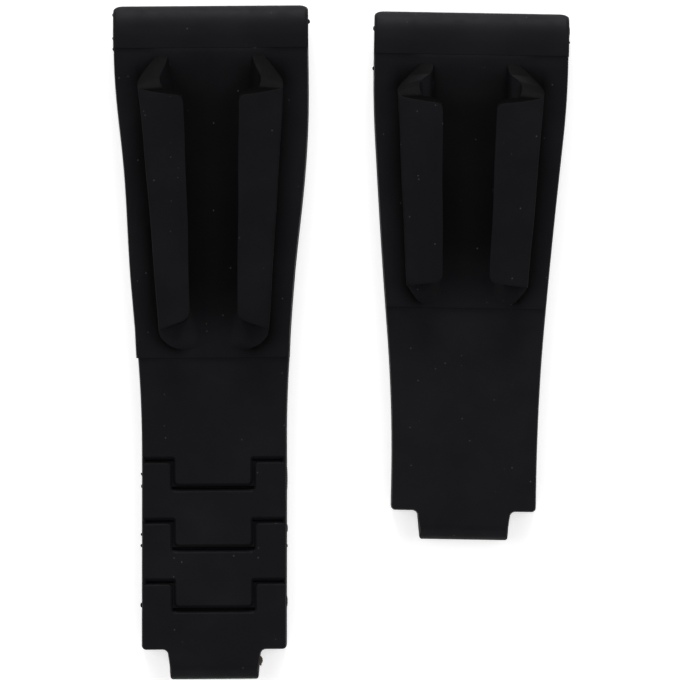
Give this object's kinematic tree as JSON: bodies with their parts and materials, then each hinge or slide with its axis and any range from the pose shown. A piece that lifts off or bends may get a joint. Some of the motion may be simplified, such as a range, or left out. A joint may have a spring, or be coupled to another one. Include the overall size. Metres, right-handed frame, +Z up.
{
  "type": "rubber dive watch strap",
  "caption": "Rubber dive watch strap in separate halves, inner side up, with folded cushion fins, cut-to-fit links, end tongues and steel-lined pin bores.",
  "frame": {"origin": "middle of the bounding box of the pair, on the surface that it lies on", "axes": "+Z up out of the inner (wrist) side, +Y along the long half towards its watch end, +X across towards the short half, which lies turned 1.39 degrees clockwise"},
  "size_m": [0.0469, 0.0692, 0.0071],
  "materials": {
    "black_rubber": "matt black moulded rubber with fine dust",
    "tube_steel": "drawn steel tube, slightly dulled",
    "spring_steel": "rolled spring strip"
  },
  "bodies": {
    "long_main": {"long_carcass": "black_rubber", "long_cushion": "black_rubber", "long_spring_leaf": "spring_steel", "long_head_tube": "tube_steel", "long_left_fin_wall": "black_rubber", "long_right_fin_wall": "black_rubber"},
    "long_tail_section": {"long_tail": "black_rubber"},
    "first_link_section": {"first_link": "black_rubber"},
    "second_link_section": {"second_link": "black_rubber"},
    "end_link_section": {"end_link": "black_rubber", "long_tail_tube": "tube_steel"},
    "long_left_flap": {"long_left_fin_flap": "black_rubber"},
    "long_right_flap": {"long_right_fin_flap": "black_rubber"},
    "short_main": {"short_carcass": "black_rubber", "short_cushion": "black_rubber", "short_spring_leaf": "spring_steel", "short_head_tube": "tube_steel", "short_left_fin_wall": "black_rubber", "short_right_fin_wall": "black_rubber"},
    "short_tail_section": {"short_tail": "black_rubber", "short_tail_tube": "tube_steel"},
    "short_left_flap": {"short_left_fin_flap": "black_rubber"},
    "short_right_flap": {"short_right_fin_flap": "black_rubber"}
  },
  "joints": [
    {"name": "long_tail_flex", "type": "hinge", "parent": "long_main", "child": "long_tail_section", "pos_m": [-0.01345, -0.00155, 0.0032], "axis": [-1, 0, 0], "range_deg": [0, 20], "stiffness_Nm_per_rad": 0.004},
    {"name": "first_link_flex", "type": "hinge", "parent": "long_tail_section", "child": "first_link_section", "pos_m": [-0.01345, -0.014, 0.00025], "axis": [-1, 0, 0], "range_deg": [-8, 12], "stiffness_Nm_per_rad": 0.002},
    {"name": "second_link_flex", "type": "hinge", "parent": "first_link_section", "child": "second_link_section", "pos_m": [-0.01345, -0.02023, 0.00025], "axis": [-1, 0, 0], "range_deg": [-8, 12], "stiffness_Nm_per_rad": 0.002},
    {"name": "end_link_flex", "type": "hinge", "parent": "second_link_section", "child": "end_link_section", "pos_m": [-0.01345, -0.02647, 0.00025], "axis": [-1, 0, 0], "range_deg": [-8, 12], "stiffness_Nm_per_rad": 0.002},
    {"name": "long_left_flap_fold", "type": "hinge", "parent": "long_main", "child": "long_left_flap", "pos_m": [-0.01779, 0.0145, 0.0054], "axis": [-0.0712, 0.9975, 0], "range_deg": [0, 30], "stiffness_Nm_per_rad": 0.0005},
    {"name": "long_right_flap_fold", "type": "hinge", "parent": "long_main", "child": "long_right_flap", "pos_m": [-0.00911, 0.0145, 0.0054], "axis": [-0.0712, -0.9975, 0], "range_deg": [0, 30], "stiffness_Nm_per_rad": 0.0005},
    {"name": "short_half_apart", "type": "slide", "parent": "long_main", "child": "short_main", "axis": [1, 0, 0], "range_m": [0, 0.03]},
    {"name": "short_tail_flex", "type": "hinge", "parent": "short_main", "child": "short_tail_section", "pos_m": [0.01271, 0.00336, 0.0032], "axis": [-0.9997, 0.0243, 0], "range_deg": [0, 20], "stiffness_Nm_per_rad": 0.004},
    {"name": "short_left_flap_fold", "type": "hinge", "parent": "short_main", "child": "short_left_flap", "pos_m": [0.00826, 0.01637, 0.0054], "axis": [-0.0374, 0.9993, 0], "range_deg": [0, 30], "stiffness_Nm_per_rad": 0.0005},
    {"name": "short_right_flap_fold", "type": "hinge", "parent": "short_main", "child": "short_right_flap", "pos_m": [0.01779, 0.01614, 0.0054], "axis": [-0.0858, -0.9963, 0], "range_deg": [0, 30], "stiffness_Nm_per_rad": 0.0005}
  ]
}
